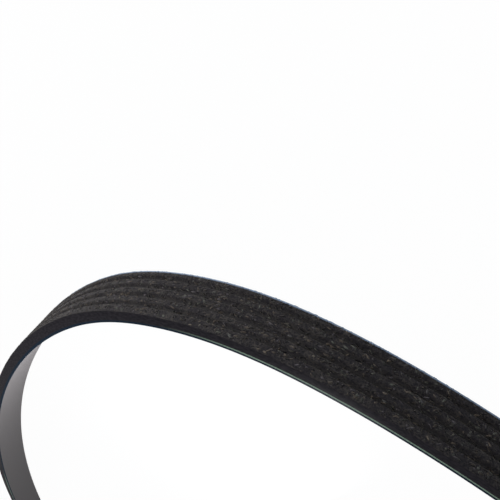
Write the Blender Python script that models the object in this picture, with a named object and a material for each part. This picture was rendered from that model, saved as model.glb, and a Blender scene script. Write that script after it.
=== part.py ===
"""A five-ribbed rubber drive belt: an endless band that lies on its cut side edge, ribs outwards.

Metres, +Z up. The section is drawn once and swept round a closed convex loop. The lower edge is cut
through the floor of a groove. The upper edge is cut through the full height of the last rib.
"""
import bpy
import math
import numpy as np

# Section across the belt
RIB_COUNT = 5
RIB_PITCH = 0.00356
RIB_HEIGHT = 0.0021
RIB_ANGLE = math.radians(40.0)
THICKNESS = 0.0048
TIP_ROUNDING = 0.00035
GROOVE_ROUNDING = 0.0002
CUT_EDGE_ROUNDING = 0.00015
BACK_EDGE_BEVEL = 0.0002
TIP_STEPS = 2
GROOVE_STEPS = 2
CUT_EDGE_STEPS = 2

# Loop along the belt, measured on the smooth back
BACK_LENGTH = 1.790
TIGHTEST_BEND = 0.088
LOOP_STEPS = 120

# The bend radius swings about its mean, two to six times in a turn. Each swing has a strength beside
# the others, and a heading at which it opens the bend most
OVAL_SWING = 0.573
OVAL_HEADING = math.radians(-4.0)
EGG_SWING = 0.309
EGG_HEADING = math.radians(-1.7)
SHOULDER_SWING = 0.494
SHOULDER_HEADING = math.radians(-8.2)
CORNER_SWING = 0.139
CORNER_HEADING = math.radians(-28.0)
FLAT_SWING = 0.432
FLAT_HEADING = math.radians(-2.4)

RUBBER_COLOUR = (0.032, 0.030, 0.029, 1.0)
RUBBER_ROUGHNESS = 0.72
FINE_STEPS = 7200


def clear_scene():
    """Empty the scene this runs in."""
    for item in list(bpy.data.objects):
        bpy.data.objects.remove(item, do_unlink=True)


def arc(centre_across, centre_out, radius, start, end, steps):
    """Points of a round stretch, angles measured from the outward direction towards +across."""
    points = []
    for step in range(steps + 1):
        angle = start + (end - start) * step / steps
        across = centre_across + radius * math.sin(angle)
        out = centre_out + radius * math.cos(angle)
        points.append((across, out))
    return points


def rib_outline():
    """The ribbed side, from the floor of the lower edge's groove to the upper edge's full-height cut."""
    flank = RIB_ANGLE / 2.0
    turn = math.pi / 2.0 - flank
    floor_out = THICKNESS - RIB_HEIGHT
    apex_drop = GROOVE_ROUNDING * (1.0 / math.sin(flank) - 1.0)
    tip_inset = (RIB_HEIGHT + apex_drop) * math.tan(flank)
    tip_centre_inset = tip_inset + TIP_ROUNDING * math.tan(turn / 2.0)
    tip_centre_out = THICKNESS - TIP_ROUNDING
    groove_centre_out = floor_out + GROOVE_ROUNDING
    half_steps = max(1, GROOVE_STEPS // 2)
    points = []
    for rib in range(RIB_COUNT):
        left = rib * RIB_PITCH
        right = left + RIB_PITCH
        rise = arc(left, groove_centre_out, GROOVE_ROUNDING, math.pi, math.pi - turn, half_steps)
        if rib > 0:
            rise = rise[1:]
        points += rise
        points += arc(left + tip_centre_inset, tip_centre_out, TIP_ROUNDING, -turn, 0.0, TIP_STEPS)
        if rib < RIB_COUNT - 1:
            points += arc(right - tip_centre_inset, tip_centre_out, TIP_ROUNDING, 0.0, turn, TIP_STEPS)
            points += arc(right, groove_centre_out, GROOVE_ROUNDING, math.pi + turn, math.pi, half_steps)
    corner_across = RIB_COUNT * RIB_PITCH - CUT_EDGE_ROUNDING
    corner_out = THICKNESS - CUT_EDGE_ROUNDING
    points += arc(corner_across, corner_out, CUT_EDGE_ROUNDING, 0.0, math.pi / 2.0, CUT_EDGE_STEPS)
    return points


def section_outline():
    """The whole closed section: ribs outwards, then the bevelled smooth back."""
    width = RIB_COUNT * RIB_PITCH
    bevel = BACK_EDGE_BEVEL
    back = [(width, bevel), (width - bevel, 0.0), (bevel, 0.0), (0.0, bevel)]
    return rib_outline() + back


def bend_radius(heading):
    """Bend radius of the smooth back where the belt runs at a heading; its least is the tightest bend."""
    mean = BACK_LENGTH / (2.0 * math.pi)
    swing = OVAL_SWING * np.cos(2.0 * (heading - OVAL_HEADING))
    swing += EGG_SWING * np.cos(3.0 * (heading - EGG_HEADING))
    swing += SHOULDER_SWING * np.cos(4.0 * (heading - SHOULDER_HEADING))
    swing += CORNER_SWING * np.cos(5.0 * (heading - CORNER_HEADING))
    swing += FLAT_SWING * np.cos(6.0 * (heading - FLAT_HEADING))
    return mean + (mean - TIGHTEST_BEND) * swing / -swing.min()


def running_total(rate, step):
    """Running integral of evenly spaced values, starting at zero."""
    slices = (rate[1:] + rate[:-1]) * step / 2.0
    return np.concatenate(([0.0], np.cumsum(slices)))


def loop_points():
    """Stations of the loop seen from above, closer together where the bend is tighter."""
    heading = np.linspace(0.0, 2.0 * math.pi, FINE_STEPS + 1)
    step = heading[1] - heading[0]
    radius = bend_radius(heading)
    x = running_total(radius * np.cos(heading), step)
    y = running_total(radius * np.sin(heading), step)
    x -= (x.max() + x.min()) / 2.0
    y -= (y.max() + y.min()) / 2.0
    spread = running_total(np.sqrt(radius), step)
    wanted = np.linspace(0.0, spread[-1], LOOP_STEPS + 1)[:-1]
    return np.interp(wanted, spread, x), np.interp(wanted, spread, y)


def closed_curve(name, points):
    """A flat closed curve through straight-joined points."""
    data = bpy.data.curves.new(name, "CURVE")
    data.dimensions = "2D"
    spline = data.splines.new("POLY")
    spline.points.add(len(points) - 1)
    for knot, (x, y) in zip(spline.points, points):
        knot.co = (x, y, 0.0, 1.0)
    spline.use_cyclic_u = True
    item = bpy.data.objects.new(name, data)
    bpy.context.collection.objects.link(item)
    return item


def rubber():
    """Black belt rubber with a faint brown cast."""
    material = bpy.data.materials.new("belt_rubber")
    material.use_nodes = True
    shader = material.node_tree.nodes["Principled BSDF"]
    shader.inputs["Base Color"].default_value = RUBBER_COLOUR
    shader.inputs["Roughness"].default_value = RUBBER_ROUGHNESS
    shader.inputs["Metallic"].default_value = 0.0
    return material


def make_belt():
    """Sweep the section round the loop and keep the result as one closed mesh."""
    outline = [(-out, across) for across, out in section_outline()]
    section = closed_curve("section", outline)
    x, y = loop_points()
    path = closed_curve("path", list(zip(x, y)))
    path.data.bevel_mode = "OBJECT"
    path.data.bevel_object = section
    depsgraph = bpy.context.evaluated_depsgraph_get()
    mesh = bpy.data.meshes.new_from_object(path.evaluated_get(depsgraph))
    mesh.name = "belt"
    bpy.data.objects.remove(path, do_unlink=True)
    bpy.data.objects.remove(section, do_unlink=True)
    belt = bpy.data.objects.new("belt", mesh)
    bpy.context.collection.objects.link(belt)
    mesh.materials.clear()
    mesh.materials.append(rubber())
    mesh.shade_smooth()
    mesh.set_sharp_from_angle(angle=math.radians(28.0))
    return belt


clear_scene()
make_belt()
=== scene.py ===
"""Looks of a five-ribbed rubber drive belt, laid on its cut edge and seen close from outside.

Lengths are metres. The loop and section repeat the solid's own sizes, with finer steps.
"""
import bpy
import math
import numpy as np
from mathutils import Matrix
from mathutils import Vector


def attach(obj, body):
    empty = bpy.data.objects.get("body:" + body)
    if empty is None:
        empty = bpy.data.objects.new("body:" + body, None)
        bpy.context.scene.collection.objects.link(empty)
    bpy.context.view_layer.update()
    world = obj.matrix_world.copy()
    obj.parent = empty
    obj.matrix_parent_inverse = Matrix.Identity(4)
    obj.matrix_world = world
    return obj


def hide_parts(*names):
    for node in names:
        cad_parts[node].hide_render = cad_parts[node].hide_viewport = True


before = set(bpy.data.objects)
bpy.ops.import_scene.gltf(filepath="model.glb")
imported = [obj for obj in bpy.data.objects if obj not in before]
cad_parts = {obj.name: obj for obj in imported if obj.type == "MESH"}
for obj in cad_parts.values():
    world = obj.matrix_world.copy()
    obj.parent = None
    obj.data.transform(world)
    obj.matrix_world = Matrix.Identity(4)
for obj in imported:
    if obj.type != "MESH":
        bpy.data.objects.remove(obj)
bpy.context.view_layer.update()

# Section across the belt, as in the solid
RIB_COUNT = 5
RIB_PITCH = 0.00356
RIB_HEIGHT = 0.0021
RIB_ANGLE = math.radians(40.0)
THICKNESS = 0.0048
TIP_ROUNDING = 0.00035
GROOVE_ROUNDING = 0.0002
CUT_EDGE_ROUNDING = 0.00015
BACK_EDGE_BEVEL = 0.0002
WIDTH = RIB_COUNT * RIB_PITCH
FLOOR_OUT = THICKNESS - RIB_HEIGHT

# Loop along the belt, as in the solid
BACK_LENGTH = 1.790
TIGHTEST_BEND = 0.088
OVAL_SWING = 0.573
OVAL_HEADING = math.radians(-4.0)
EGG_SWING = 0.309
EGG_HEADING = math.radians(-1.7)
SHOULDER_SWING = 0.494
SHOULDER_HEADING = math.radians(-8.2)
CORNER_SWING = 0.139
CORNER_HEADING = math.radians(-28.0)
FLAT_SWING = 0.432
FLAT_HEADING = math.radians(-2.4)
HEADING_STEPS = 7200

# Finer steps for the look, and the angle from which an edge stays sharp
LOOP_STEPS = 760
TIP_STEPS = 4
GROOVE_STEPS = 4
CUT_EDGE_STEPS = 3
BACK_STEPS = 3
SHARP_ANGLE = math.radians(38.0)

# The band's materials, in the order in which it gets them
LOOKS = ("ribs", "edge", "back")

# Layers on the cut edge, measured out from the smooth back
BACKING_LAYER = 0.00104
CORD_LAYER = 0.00156
LAYER_BLEND = 0.00005

# The cut wanders off the cord and back this many times round the loop, as a wave from -1 to 1 with a
# crest at a length along the back. The cord starts to show at the lower of two heights of the wave
# and shows in full from the higher one
CORD_WAVES = 3
CORD_CREST = 1.233
CORD_WAVE_HEIGHTS = (-0.02, 0.3)

# Short fibres scattered over each rib, sparser towards the groove's floor. A spread is a range of
# shares of the size before it
FIBRE_TRIES = 9500
FIBRE_SEED = 11
FIBRE_LENGTH = 0.00125
FIBRE_LENGTH_SPREAD = (0.4, 2.0)
FIBRE_WIDTH = 0.00056
FIBRE_WIDTH_SPREAD = (0.6, 1.3)
FIBRE_LIFT = 0.00011
FIBRE_ROOT = 0.00003
FIBRE_TURN = math.radians(36.0)
FIBRE_CURL = math.radians(60.0)
FIBRE_TONE_POWER = 1.1
FLOOR_COVER = 0.75

# A fibre's first point, its ridges and its last point, as shares of its length from its middle
FIBRE_SHARES = (-0.5, -0.18, 0.18, 0.5)

# Fibres reach this far over the corner onto the upper cut edge, where they are sparser
OVERHANG = 0.0009
OVERHANG_COVER = 0.4

# A painted highlight: a paler, cool line along the lower corner of the lowest rib, standing in for the
# bright rim where that corner turns away
PAINTED_RIM_MIDDLE = 0.00105
PAINTED_RIM_REACH = 0.0006
PAINTED_RIM_COVER = 0.9

# Noise in the materials, as cells to a metre of the belt's map: along and across, or both alike
STREAK_CELLS = (800.0, 2600.0)
CUT_CELLS = (700.0, 1400.0)
CORD_CELLS = (2500.0, 2500.0)
WEAVE_CELLS = (1800.0, 3600.0)
RIB_PATCH_CELLS = 260.0
RIB_GRAIN_CELLS = 2600.0
FIBRE_PATCH_CELLS = 430.0
FIBRE_GRAIN_CELLS = 3000.0
NOISE_RANGE = (0.3, 0.7)

# Bearings of the crossing streaks and of the cord's twist. Each next set of streaks is shifted on its
# noise, and a shift goes a share as far across as along
STREAK_TURNS = (0.25, 1.0, 1.9, 2.7)
STREAK_SHIFT = 3.1
SHIFT_ASIDE = 0.37
CORD_TURN = 0.6

# Relief that is left to the materials
RIB_RELIEF = 0.00012
CUT_RELIEF = 0.00008
WEAVE_RELIEF = 0.00006

# The soft rim that standing fibres give
SHEEN_ROUGHNESS = 0.35
SHEEN_TINT = (1.0, 0.94, 0.86, 1.0)

# A fibre's hue runs from brown to green-grey, and from there to violet-grey
BROWN_TO_GREEN = (0.3, 0.5)
GREEN_TO_VIOLET = (0.6, 0.8)

# Camera, from the fit to the photograph
CAMERA_PLACE = (-0.46656, -0.04067, 0.09333)
CAMERA_YAW = math.radians(107.39)
CAMERA_DIP = math.radians(37.30)
CAMERA_ROLL = math.radians(216.40)
CAMERA_LENS = 44.71
CAMERA_SENSOR = 36.0
CAMERA_NEAR = 0.001
CAMERA_FAR = 50.0

# Studio
FLOOR_SIZE = 6.0
FLOOR_COLOUR = (0.78, 0.84, 0.92, 1.0)
FLOOR_ROUGHNESS = 0.9
FLOOR_GLOW = 0.975
WORLD_STRENGTH = 0.2
WHITE = (1.0, 1.0, 1.0)
WARM = (1.0, 0.84, 0.68)


def srgb(red, green, blue):
    """A colour written as it looks on screen, 0 to 255, as linear values."""
    values = []
    for part in (red, green, blue):
        share = part / 255.0
        if share <= 0.04045:
            values.append(share / 12.92)
        else:
            values.append(((share + 0.055) / 1.055) ** 2.4)
    return (*values, 1.0)


# Colours; a pair runs from darker to lighter
TIP_RUBBER = (srgb(22, 22, 26), srgb(36, 35, 39))
# Painted light: a lighter rubber for the groove floors, lifting the shade that falls in the grooves
GROOVE_PAINTED_LIGHT_RUBBER = (srgb(45, 45, 49), srgb(64, 64, 65))
CUT_RUBBER = (srgb(21, 20, 25), srgb(36, 34, 39))
CORD = (srgb(100, 119, 107), srgb(131, 153, 138))
BACK_FABRIC = (srgb(79, 76, 77), srgb(94, 91, 92))
BACKING = srgb(9, 26, 40)
FUZZ = srgb(57, 55, 54)
# Painted highlight colour for the lower corner of the lowest rib
PAINTED_RIM_HIGHLIGHT = srgb(128, 146, 170)
DARK_FIBRE = srgb(20, 20, 23)
BROWN_FIBRE = srgb(83, 77, 71)
GREEN_GREY_FIBRE = srgb(74, 77, 73)
VIOLET_GREY_FIBRE = srgb(75, 73, 78)


def arc(centre_across, centre_out, radius, start, end, steps):
    """Points of a round stretch, angles measured from the outward direction towards +across."""
    points = []
    for step in range(steps + 1):
        angle = start + (end - start) * step / steps
        across = centre_across + radius * math.sin(angle)
        out = centre_out + radius * math.cos(angle)
        points.append((across, out))
    return points


def rib_outline():
    """The ribbed side, from the floor of the lower edge's groove to the upper edge's full-height cut."""
    flank = RIB_ANGLE / 2.0
    turn = math.pi / 2.0 - flank
    apex_drop = GROOVE_ROUNDING * (1.0 / math.sin(flank) - 1.0)
    tip_inset = (RIB_HEIGHT + apex_drop) * math.tan(flank)
    tip_inset += TIP_ROUNDING * math.tan(turn / 2.0)
    tip_out = THICKNESS - TIP_ROUNDING
    groove_out = FLOOR_OUT + GROOVE_ROUNDING
    half = GROOVE_STEPS // 2
    points = []
    for rib in range(RIB_COUNT):
        left = rib * RIB_PITCH
        right = left + RIB_PITCH
        rise = arc(left, groove_out, GROOVE_ROUNDING, math.pi, math.pi - turn, half)
        if rib > 0:
            rise = rise[1:]
        points += rise
        points += arc(left + tip_inset, tip_out, TIP_ROUNDING, -turn, 0.0, TIP_STEPS)
        if rib < RIB_COUNT - 1:
            points += arc(right - tip_inset, tip_out, TIP_ROUNDING, 0.0, turn, TIP_STEPS)
            points += arc(right, groove_out, GROOVE_ROUNDING, math.pi + turn, math.pi, half)
    corner_across = WIDTH - CUT_EDGE_ROUNDING
    corner_out = THICKNESS - CUT_EDGE_ROUNDING
    points += arc(corner_across, corner_out, CUT_EDGE_ROUNDING, 0.0, math.pi / 2.0, CUT_EDGE_STEPS)
    return points


def section_outline():
    """The whole closed section: ribs, upper cut edge, smooth back, lower cut edge."""
    upper = [(WIDTH, out) for out in (CORD_LAYER, BACKING_LAYER, BACK_EDGE_BEVEL)]
    lower = [(0.0, out) for out in (BACK_EDGE_BEVEL, BACKING_LAYER, CORD_LAYER)]
    back_start = WIDTH - BACK_EDGE_BEVEL
    back_run = BACK_EDGE_BEVEL - back_start
    back = [(back_start + back_run * step / BACK_STEPS, 0.0) for step in range(BACK_STEPS + 1)]
    return rib_outline() + upper + back + lower


def stretch_looks(outline):
    """The material of each stretch of the section, as an index into LOOKS."""
    looks = []
    for point, (_, out) in enumerate(outline):
        _, next_out = outline[(point + 1) % len(outline)]
        if max(out, next_out) == 0.0:
            looks.append(LOOKS.index("back"))
        elif min(out, next_out) > FLOOR_OUT - BACK_EDGE_BEVEL:
            looks.append(LOOKS.index("ribs"))
        else:
            looks.append(LOOKS.index("edge"))
    return looks


def bend_radius(heading):
    """Bend radius of the smooth back where the belt runs at a heading."""
    mean = BACK_LENGTH / (2.0 * math.pi)
    swing = OVAL_SWING * np.cos(2.0 * (heading - OVAL_HEADING))
    swing += EGG_SWING * np.cos(3.0 * (heading - EGG_HEADING))
    swing += SHOULDER_SWING * np.cos(4.0 * (heading - SHOULDER_HEADING))
    swing += CORNER_SWING * np.cos(5.0 * (heading - CORNER_HEADING))
    swing += FLAT_SWING * np.cos(6.0 * (heading - FLAT_HEADING))
    return mean + (mean - TIGHTEST_BEND) * swing / -swing.min()


def running_total(rate, step):
    """Running integral of evenly spaced values, starting at zero."""
    slices = (rate[1:] + rate[:-1]) * step / 2.0
    return np.concatenate(([0.0], np.cumsum(slices)))


class Loop:
    """The line of the smooth back seen from above, and where any length along it lies."""

    def __init__(self):
        self.heading = np.linspace(0.0, 2.0 * math.pi, HEADING_STEPS + 1)
        step = self.heading[1] - self.heading[0]
        radius = bend_radius(self.heading)
        x = running_total(radius * np.cos(self.heading), step)
        y = running_total(radius * np.sin(self.heading), step)
        self.x = x - (x.max() + x.min()) / 2.0
        self.y = y - (y.max() + y.min()) / 2.0
        self.along = running_total(radius, step)
        self.spread = running_total(np.sqrt(radius), step)
        self.length = self.along[-1]

    def stations(self, count):
        """Lengths along the loop, closer together where the bend is tighter."""
        wanted = np.linspace(0.0, self.spread[-1], count + 1)
        return np.interp(wanted, self.spread, self.along)

    def place(self, along, across, out):
        """World place of a spot given by its length along, height across and distance out."""
        along = np.mod(along, self.length)
        heading = np.interp(along, self.along, self.heading)
        x = np.interp(along, self.along, self.x) + out * np.sin(heading)
        y = np.interp(along, self.along, self.y) - out * np.cos(heading)
        return np.stack([x, y, across + np.zeros_like(x)], axis=-1)


def link(name, mesh):
    """Put a mesh in the scene as a piece."""
    piece = bpy.data.objects.new(name, mesh)
    bpy.context.collection.objects.link(piece)
    return piece


def add_belt_map(mesh, corners):
    """Give a mesh its map: length along the loop and length round the section at each face corner."""
    layer = mesh.uv_layers.new(name="belt_map")
    layer.data.foreach_set("uv", np.array(corners).ravel())


def add_point_values(mesh, name, values):
    """Give a mesh one value at each point, for its material."""
    layer = mesh.attributes.new(name, "FLOAT", "POINT")
    layer.data.foreach_set("value", values)


def lengths_between(points):
    """Running length of a line of points, starting at zero."""
    steps = np.linalg.norm(np.diff(points, axis=0), axis=1)
    return np.concatenate(([0.0], np.cumsum(steps)))


def make_band(loop):
    """The belt's surface as one closed mesh."""
    outline = section_outline()
    count = len(outline)
    round_lengths = lengths_between(np.array(outline + outline[:1]))
    stations = loop.stations(LOOP_STEPS)
    across, out = np.array(outline).T
    rings = [loop.place(np.full(count, station), across, out) for station in stations[:-1]]
    faces = []
    corners = []
    for ring in range(LOOP_STEPS):
        here = ring * count
        there = ((ring + 1) % LOOP_STEPS) * count
        near = stations[ring]
        far = stations[ring + 1]
        for point in range(count):
            after = (point + 1) % count
            faces.append((here + point, there + point, there + after, here + after))
            low = round_lengths[point]
            high = round_lengths[point + 1]
            corners += [(near, low), (far, low), (far, high), (near, high)]
    mesh = bpy.data.meshes.new("belt_surface")
    mesh.from_pydata(np.concatenate(rings).tolist(), [], faces)
    add_belt_map(mesh, corners)
    add_point_values(mesh, "out", np.tile(out, LOOP_STEPS))
    add_point_values(mesh, "across", np.tile(across, LOOP_STEPS))
    mesh.polygons.foreach_set("material_index", stretch_looks(outline) * LOOP_STEPS)
    mesh.shade_smooth()
    mesh.set_sharp_from_angle(angle=SHARP_ANGLE)
    return link("belt_surface", mesh)


class RibSide:
    """The ribbed side laid out flat: what lies at each length round the section."""

    def __init__(self):
        points = np.array(rib_outline() + [(WIDTH, THICKNESS - OVERHANG)])
        self.across = points[:, 0]
        self.out = points[:, 1]
        self.round = lengths_between(points)

    def rib_range(self, rib):
        """Lengths round the section where a rib starts and ends."""
        low = np.interp(rib * RIB_PITCH, self.across, self.round)
        high = np.interp((rib + 1) * RIB_PITCH, self.across, self.round)
        return low, high

    def height(self, length):
        """Height of a spot above the groove's floor, as a share of a rib's height."""
        return (np.interp(length, self.round, self.out) - FLOOR_OUT) / RIB_HEIGHT

    def lifted(self, length, lift):
        """Across and out of a spot that stands off the rubber by a lift."""
        reach = TIP_ROUNDING / 3.0
        step_across = np.interp(length + reach, self.round, self.across)
        step_across -= np.interp(length - reach, self.round, self.across)
        step_out = np.interp(length + reach, self.round, self.out)
        step_out -= np.interp(length - reach, self.round, self.out)
        size = np.hypot(step_across, step_out)
        across = np.interp(length, self.round, self.across) - lift * step_out / size
        out = np.interp(length, self.round, self.out) + lift * step_across / size
        return across, out


def sliver_corners():
    """Corners of one fibre: share of its length, step aside in half widths, and lift off the rubber."""
    first, *ridges, last = FIBRE_SHARES
    corners = [(first, 0.0, -FIBRE_ROOT)]
    for share in ridges:
        corners += [(share, -1.0, -FIBRE_ROOT), (share, 0.0, FIBRE_LIFT), (share, 1.0, -FIBRE_ROOT)]
    corners.append((last, 0.0, -FIBRE_ROOT))
    return corners


def sliver_faces():
    """Triangles of one fibre, from its first point over its ridges to its last point."""
    ridges = len(FIBRE_SHARES) - 2
    faces = [(0, 1, 2), (0, 2, 3), (0, 3, 1)]
    for ridge in range(ridges - 1):
        here = 1 + 3 * ridge
        for corner in range(3):
            after = (corner + 1) % 3
            faces.append((here + corner, here + corner + 3, here + after + 3))
            faces.append((here + corner, here + after + 3, here + after))
    last = 1 + 3 * (ridges - 1)
    end = last + 3
    faces += [(end, last + 1, last), (end, last + 2, last + 1), (end, last, last + 2)]
    return np.array(faces)


class Scatter:
    """The fibres of one rib: where each lies, how it runs, its size, its tone and its hue."""

    def __init__(self, loop, side, rib):
        rng = np.random.default_rng(FIBRE_SEED + rib)
        low, high = side.rib_range(rib)
        middle = rng.uniform(low, high, FIBRE_TRIES)
        cover = FLOOR_COVER + (1.0 - FLOOR_COVER) * side.height(middle)
        cover[middle > side.round[-2]] = OVERHANG_COVER
        length = FIBRE_LENGTH * rng.uniform(*FIBRE_LENGTH_SPREAD, FIBRE_TRIES)
        turn = rng.normal(0.0, FIBRE_TURN, FIBRE_TRIES)
        curl = rng.normal(0.0, FIBRE_CURL, FIBRE_TRIES)
        width = FIBRE_WIDTH * rng.uniform(*FIBRE_WIDTH_SPREAD, FIBRE_TRIES)
        start = rng.uniform(0.0, loop.length, FIBRE_TRIES)
        tone = rng.uniform(0.0, 1.0, FIBRE_TRIES) ** FIBRE_TONE_POWER
        hue = rng.uniform(0.0, 1.0, FIBRE_TRIES)
        reach = length / 2.0 + width
        inside = (middle - reach > side.round[0]) & (middle + reach < side.round[-1])
        kept = inside & (rng.uniform(0.0, 1.0, FIBRE_TRIES) < cover)
        self.start = start[kept]
        self.middle = middle[kept]
        self.length = length[kept]
        self.half_width = width[kept] / 2.0
        self.turn = turn[kept]
        self.curl = curl[kept]
        self.tone = tone[kept]
        self.hue = hue[kept]

    def corners(self):
        """Length along, length round the section and lift of the corners, one row for each fibre."""
        along = []
        round_length = []
        lifts = []
        for share, aside, lift in sliver_corners():
            away = self.length * share
            step = self.half_width * aside
            bearing = self.turn + self.curl * share
            chord = self.turn + self.curl * share / 2.0
            along.append(self.start + away * np.cos(chord) - step * np.sin(bearing))
            round_length.append(self.middle + away * np.sin(chord) + step * np.cos(bearing))
            lifts.append(np.full_like(self.middle, lift))
        return np.stack(along, axis=1), np.stack(round_length, axis=1), np.stack(lifts, axis=1)


def make_fibres(loop, side, rib):
    """Curled fibres scattered over one rib, as one mesh of thin pointed slivers."""
    scatter = Scatter(loop, side, rib)
    along, round_length, lift = scatter.corners()
    count, corners = along.shape
    across, out = side.lifted(round_length.ravel(), lift.ravel())
    verts = loop.place(along.ravel(), across, out)
    shifts = np.arange(count)[:, None, None] * corners
    faces = (sliver_faces()[None] + shifts).reshape(-1, 3)
    name = "fibres_%d" % (rib + 1)
    mesh = bpy.data.meshes.new(name)
    mesh.from_pydata(verts.tolist(), [], faces.tolist())
    flat_map = np.stack([along.ravel(), round_length.ravel()], axis=1)
    add_belt_map(mesh, flat_map[faces.ravel()])
    add_point_values(mesh, "across", across)
    add_point_values(mesh, "tone", np.repeat(scatter.tone, corners))
    add_point_values(mesh, "hue", np.repeat(scatter.hue, corners))
    mesh.shade_smooth()
    return link(name, mesh)


def colour_sockets(sockets):
    """The sockets that carry a colour."""
    return [item for item in sockets if item.type == "RGBA"]


class Nodes:
    """Short ways to add and join the nodes of a material or a world."""

    def __init__(self, owner):
        owner.use_nodes = True
        self.owner = owner
        self.tree = owner.node_tree
        self.shader = self.tree.nodes.get("Principled BSDF")

    def add(self, kind, **settings):
        """A new node with some of its settings."""
        node = self.tree.nodes.new(kind)
        for key, value in settings.items():
            setattr(node, key, value)
        return node

    def join(self, source, target):
        """Lead an output into an input."""
        self.tree.links.new(source, target)

    def attribute(self, name):
        """A value that the mesh keeps at its points."""
        return self.add("ShaderNodeAttribute", attribute_name=name).outputs["Fac"]

    def belt_map(self):
        """Length along the loop and length round the section."""
        return self.add("ShaderNodeUVMap", uv_map="belt_map").outputs["UV"]

    def math(self, operation, first, second, clamp=False):
        """An operation on two values; each is a socket or a number."""
        node = self.add("ShaderNodeMath", operation=operation, use_clamp=clamp)
        for socket, value in zip(node.inputs, (first, second)):
            if isinstance(value, (int, float)):
                socket.default_value = value
            else:
                self.join(value, socket)
        return node.outputs[0]

    def ramp(self, value, low, high, start=0.0, end=1.0):
        """A smooth step from start to end while a value goes from low to high."""
        node = self.add("ShaderNodeMapRange", interpolation_type="SMOOTHSTEP")
        node.clamp = True
        self.join(value, node.inputs["Value"])
        node.inputs["From Min"].default_value = low
        node.inputs["From Max"].default_value = high
        node.inputs["To Min"].default_value = start
        node.inputs["To Max"].default_value = end
        return node.outputs["Result"]

    def mix(self, share, first, second):
        """Blend two colours; each is a socket or a written colour."""
        node = self.add("ShaderNodeMix", data_type="RGBA")
        self.join(share, node.inputs[0])
        for socket, value in zip(colour_sockets(node.inputs), (first, second)):
            if isinstance(value, tuple):
                socket.default_value = value
            else:
                self.join(value, socket)
        return colour_sockets(node.outputs)[0]

    def noise(self, vector, scale=1.0, detail=2.0, distortion=0.0):
        """Value noise on a map."""
        node = self.add("ShaderNodeTexNoise")
        node.inputs["Scale"].default_value = scale
        node.inputs["Detail"].default_value = detail
        node.inputs["Distortion"].default_value = distortion
        self.join(vector, node.inputs["Vector"])
        return node.outputs["Fac"]

    def turned_map(self, source, turn, cells, shift=0.0):
        """A map turned by an angle and then stretched, for noise that lies that way."""
        turned = self.add("ShaderNodeMapping")
        turned.inputs["Rotation"].default_value = (0.0, 0.0, turn)
        self.join(source, turned.inputs["Vector"])
        scaled = self.add("ShaderNodeMapping")
        scaled.inputs["Location"].default_value = (shift, shift * SHIFT_ASIDE, 0.0)
        scaled.inputs["Scale"].default_value = (*cells, 1.0)
        self.join(turned.outputs["Vector"], scaled.inputs["Vector"])
        return scaled.outputs["Vector"]

    def seen_directly(self):
        """One for what the camera sees itself, in a gloss or through glass."""
        path = self.add("ShaderNodeLightPath")
        seen = self.math("MAXIMUM", path.outputs["Is Camera Ray"], path.outputs["Is Glossy Ray"])
        return self.math("MAXIMUM", seen, path.outputs["Is Transmission Ray"])

    def set_colour(self, colour):
        """Lead a colour into the shader."""
        self.join(colour, self.shader.inputs["Base Color"])

    def set_gloss(self, roughness, specular, sheen=0.0):
        """Plain gloss values."""
        sockets = self.shader.inputs
        sockets["Roughness"].default_value = roughness
        sockets["Specular IOR Level"].default_value = specular
        sockets["Sheen Weight"].default_value = sheen
        sockets["Sheen Roughness"].default_value = SHEEN_ROUGHNESS
        sockets["Sheen Tint"].default_value = SHEEN_TINT

    def set_relief(self, height, strength, distance):
        """Fine relief from a height."""
        bump = self.add("ShaderNodeBump")
        bump.inputs["Strength"].default_value = strength
        bump.inputs["Distance"].default_value = distance
        self.join(height, bump.inputs["Height"])
        self.join(bump.outputs["Normal"], self.shader.inputs["Normal"])


def fibre_streaks(nodes, source):
    """Crossing short streaks: the strongest of several stretched noises."""
    streaks = []
    for index, turn in enumerate(STREAK_TURNS):
        vector = nodes.turned_map(source, turn, STREAK_CELLS, shift=STREAK_SHIFT * index)
        streaks.append(nodes.ramp(nodes.noise(vector, detail=1.5, distortion=0.9), 0.54, 0.66))
    strongest = streaks[0]
    for streak in streaks[1:]:
        strongest = nodes.math("MAXIMUM", strongest, streak)
    return strongest


def with_painted_rim_highlight(nodes, colour):
    """A colour with a painted highlight, pale and cool, along the lower corner of the lowest rib."""
    # Painted highlight: strongest at the corner's middle, fading out over its reach
    aside = nodes.math("SUBTRACT", nodes.attribute("across"), PAINTED_RIM_MIDDLE)
    rim_highlight = nodes.ramp(nodes.math("ABSOLUTE", aside, 0.0), 0.0, PAINTED_RIM_REACH, PAINTED_RIM_COVER, 0.0)
    return nodes.mix(rim_highlight, colour, PAINTED_RIM_HIGHLIGHT)


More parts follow.
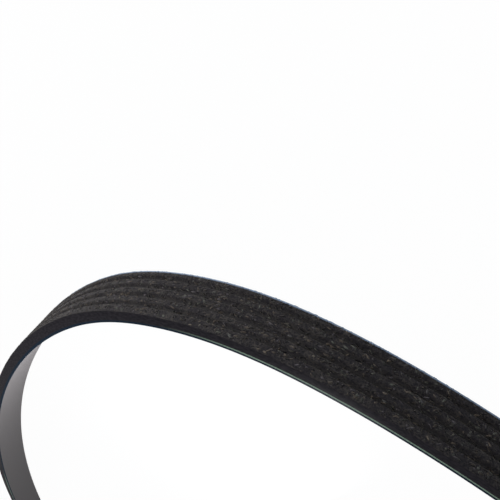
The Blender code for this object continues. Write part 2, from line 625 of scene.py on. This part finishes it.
def rib_material():
    """Black rubber under the finest fibres, painted lighter towards the floor of the grooves to lift the
    shade there.
    """
    nodes = Nodes(bpy.data.materials.new("belt_ribs"))
    source = nodes.belt_map()
    height = nodes.ramp(nodes.attribute("out"), FLOOR_OUT, THICKNESS)
    patches = nodes.ramp(nodes.noise(source, RIB_PATCH_CELLS, detail=3.0), 0.35, 0.65, start=0.35)
    on_tip = nodes.ramp(height, 0.0, 0.9, start=0.55, end=0.9)
    cover = nodes.math("MULTIPLY", fibre_streaks(nodes, source), patches)
    cover = nodes.math("MULTIPLY", cover, on_tip)
    grain = nodes.noise(source, RIB_GRAIN_CELLS)
    tone = nodes.ramp(grain, *NOISE_RANGE)
    tip_rubber = nodes.mix(tone, *TIP_RUBBER)
    groove_painted_light = nodes.mix(tone, *GROOVE_PAINTED_LIGHT_RUBBER)
    # Painted light: the rubber turns lighter towards the groove floor, against the shade that falls
    # there
    rubber = nodes.mix(nodes.ramp(height, 0.0, 0.8), groove_painted_light, tip_rubber)
    # Painted highlight: the rib colour turns pale and cool along the lowest rib's lower corner
    nodes.set_colour(with_painted_rim_highlight(nodes, nodes.mix(cover, rubber, FUZZ)))
    nodes.set_gloss(roughness=0.66, specular=0.03, sheen=0.10)
    relief = nodes.math("ADD", nodes.math("MULTIPLY", cover, 0.7), nodes.math("MULTIPLY", grain, 0.3))
    nodes.set_relief(relief, strength=0.45, distance=RIB_RELIEF)
    return nodes.owner


def cord_share(nodes, source):
    """How far the cut shows the cord at a length along the loop, from none to all."""
    split = nodes.add("ShaderNodeSeparateXYZ")
    nodes.join(source, split.inputs["Vector"])
    turns = nodes.math("SUBTRACT", split.outputs["X"], CORD_CREST)
    turns = nodes.math("MULTIPLY", turns, 2.0 * math.pi * CORD_WAVES / BACK_LENGTH)
    return nodes.ramp(nodes.math("COSINE", turns, 0.0), *CORD_WAVE_HEIGHTS)


def edge_material():
    """Plain cut rubber, a grey-green cord that shows in places, and the nearly black backing."""
    nodes = Nodes(bpy.data.materials.new("belt_cut_edge"))
    source = nodes.belt_map()
    out = nodes.attribute("out")
    grain = nodes.noise(nodes.turned_map(source, 0.0, CUT_CELLS), detail=3.0)
    cut = nodes.mix(nodes.ramp(grain, 0.36, 0.64), *CUT_RUBBER)
    twist = nodes.noise(nodes.turned_map(source, CORD_TURN, CORD_CELLS), detail=1.0)
    cord = nodes.mix(nodes.ramp(twist, *NOISE_RANGE), *CORD)
    above_backing = nodes.ramp(out, BACKING_LAYER - LAYER_BLEND, BACKING_LAYER + LAYER_BLEND)
    below_top = nodes.ramp(out, CORD_LAYER - LAYER_BLEND, CORD_LAYER + LAYER_BLEND, 1.0, 0.0)
    on_cord = nodes.math("MULTIPLY", above_backing, below_top)
    on_cord = nodes.math("MULTIPLY", on_cord, cord_share(nodes, source))
    layered = nodes.mix(above_backing, BACKING, cut)
    nodes.set_colour(nodes.mix(on_cord, layered, cord))
    nodes.set_gloss(roughness=0.6, specular=0.02)
    relief = nodes.math("ADD", grain, nodes.math("MULTIPLY", on_cord, twist))
    nodes.set_relief(relief, strength=0.3, distance=CUT_RELIEF)
    return nodes.owner


def back_material():
    """Smooth grey backing fabric with a fine weave."""
    nodes = Nodes(bpy.data.materials.new("belt_back"))
    weave = nodes.noise(nodes.turned_map(nodes.belt_map(), 0.0, WEAVE_CELLS))
    nodes.set_colour(nodes.mix(nodes.ramp(weave, *NOISE_RANGE), *BACK_FABRIC))
    nodes.set_gloss(roughness=0.7, specular=0.2)
    nodes.set_relief(weave, strength=0.3, distance=WEAVE_RELIEF)
    return nodes.owner


def fibre_material():
    """Brown, green-grey and violet-grey fibres, each lighter or darker, in paler and darker patches."""
    nodes = Nodes(bpy.data.materials.new("belt_fibre_look"))
    source = nodes.belt_map()
    grain = nodes.ramp(nodes.noise(source, FIBRE_GRAIN_CELLS), *NOISE_RANGE, start=-0.15, end=0.15)
    patches = nodes.ramp(nodes.noise(source, FIBRE_PATCH_CELLS), 0.38, 0.62, start=0.25, end=1.1)
    tone = nodes.math("MULTIPLY", nodes.attribute("tone"), patches)
    tone = nodes.math("ADD", tone, grain, clamp=True)
    hue = nodes.attribute("hue")
    pale = nodes.mix(nodes.ramp(hue, *BROWN_TO_GREEN), BROWN_FIBRE, GREEN_GREY_FIBRE)
    pale = nodes.mix(nodes.ramp(hue, *GREEN_TO_VIOLET), pale, VIOLET_GREY_FIBRE)
    # Painted highlight: the fibres turn pale and cool along the lowest rib's lower corner
    nodes.set_colour(with_painted_rim_highlight(nodes, nodes.mix(tone, DARK_FIBRE, pale)))
    nodes.set_gloss(roughness=0.75, specular=0.03, sheen=0.10)
    return nodes.owner


def make_floor():
    """A plain pale floor under the belt, that glows nearly white where it is seen directly."""
    half = FLOOR_SIZE / 2.0
    mesh = bpy.data.meshes.new("floor")
    corners = [(-half, -half, 0.0), (half, -half, 0.0), (half, half, 0.0), (-half, half, 0.0)]
    mesh.from_pydata(corners, [], [(0, 1, 2, 3)])
    floor = link("floor", mesh)
    nodes = Nodes(bpy.data.materials.new("floor_white"))
    nodes.shader.inputs["Base Color"].default_value = FLOOR_COLOUR
    nodes.shader.inputs["Roughness"].default_value = FLOOR_ROUGHNESS
    glow = nodes.add("ShaderNodeEmission")
    blend = nodes.add("ShaderNodeMixShader")
    nodes.join(nodes.math("MULTIPLY", nodes.seen_directly(), FLOOR_GLOW), blend.inputs["Fac"])
    nodes.join(nodes.shader.outputs["BSDF"], blend.inputs[1])
    nodes.join(glow.outputs["Emission"], blend.inputs[2])
    output = nodes.tree.nodes["Material Output"]
    nodes.join(blend.outputs["Shader"], output.inputs["Surface"])
    mesh.materials.append(nodes.owner)


def make_world():
    """Even pale light from all round, white where it is seen directly."""
    nodes = Nodes(bpy.data.worlds.new("studio"))
    background = nodes.tree.nodes["Background"]
    background.inputs["Color"].default_value = (*WHITE, 1.0)
    added = nodes.math("MULTIPLY", nodes.seen_directly(), 1.0 - WORLD_STRENGTH)
    nodes.join(nodes.math("ADD", added, WORLD_STRENGTH), background.inputs["Strength"])
    bpy.context.scene.world = nodes.owner


def make_lamp(name, place, target, size, power, colour=WHITE):
    """A square soft lamp that faces a target."""
    data = bpy.data.lights.new(name, "AREA")
    data.shape = "SQUARE"
    data.size = size
    data.energy = power
    data.color = colour
    lamp = bpy.data.objects.new(name, data)
    lamp.location = place
    aim = Vector(target) - Vector(place)
    lamp.rotation_mode = "QUATERNION"
    lamp.rotation_quaternion = aim.to_track_quat("-Z", "Y")
    lamp.visible_camera = False
    bpy.context.collection.objects.link(lamp)


def make_lamps():
    """A broad key before the belt and one behind it, and three small ones round the left bend."""
    make_lamp("key", (-0.56, -0.78, 0.28), target=(-0.33, -0.05, 0.0), size=0.5, power=6.4)
    make_lamp("front", (-0.70, -0.08, 0.24), target=(-0.33, 0.0, 0.0), size=0.25, power=0.45)
    make_lamp(
        "bend", (-0.52, -0.44, 0.07), target=(-0.28, -0.15, 0.01), size=0.15, power=0.7, colour=WARM
    )
    make_lamp("inside", (-0.22, -0.04, 0.03), target=(-0.26, -0.17, 0.01), size=0.04, power=0.33)
    make_lamp("far_side", (1.10, 1.00, 0.50), target=(0.05, 0.05, 0.0), size=0.8, power=4.6)


def make_camera():
    """The photograph's view: close, looking down, and turned about its own axis."""
    ahead = Vector((
        math.sin(CAMERA_YAW) * math.cos(CAMERA_DIP),
        math.cos(CAMERA_YAW) * math.cos(CAMERA_DIP),
        -math.sin(CAMERA_DIP),
    ))
    level = Vector((math.cos(CAMERA_YAW), -math.sin(CAMERA_YAW), 0.0))
    above = level.cross(ahead)
    right = level * math.cos(CAMERA_ROLL) + above * math.sin(CAMERA_ROLL)
    upward = above * math.cos(CAMERA_ROLL) - level * math.sin(CAMERA_ROLL)
    turn = Matrix((right, upward, -ahead)).transposed()
    data = bpy.data.cameras.new("camera")
    data.lens = CAMERA_LENS
    data.sensor_width = CAMERA_SENSOR
    data.clip_start = CAMERA_NEAR
    data.clip_end = CAMERA_FAR
    camera = bpy.data.objects.new("camera", data)
    camera.rotation_mode = "QUATERNION"
    camera.location = CAMERA_PLACE
    camera.rotation_quaternion = turn.to_quaternion()
    bpy.context.collection.objects.link(camera)
    bpy.context.scene.camera = camera


bpy.context.scene.view_settings.view_transform = "Standard"
loop = Loop()
band = make_band(loop)
for look in (rib_material(), edge_material(), back_material()):
    band.data.materials.append(look)
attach(band, "root")
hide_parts("belt")
fibre_look = fibre_material()
rib_side = RibSide()
for rib in range(RIB_COUNT):
    fibres = make_fibres(loop, rib_side, rib)
    fibres.data.materials.append(fibre_look)
    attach(fibres, "root")
make_floor()
make_world()
make_lamps()
make_camera()
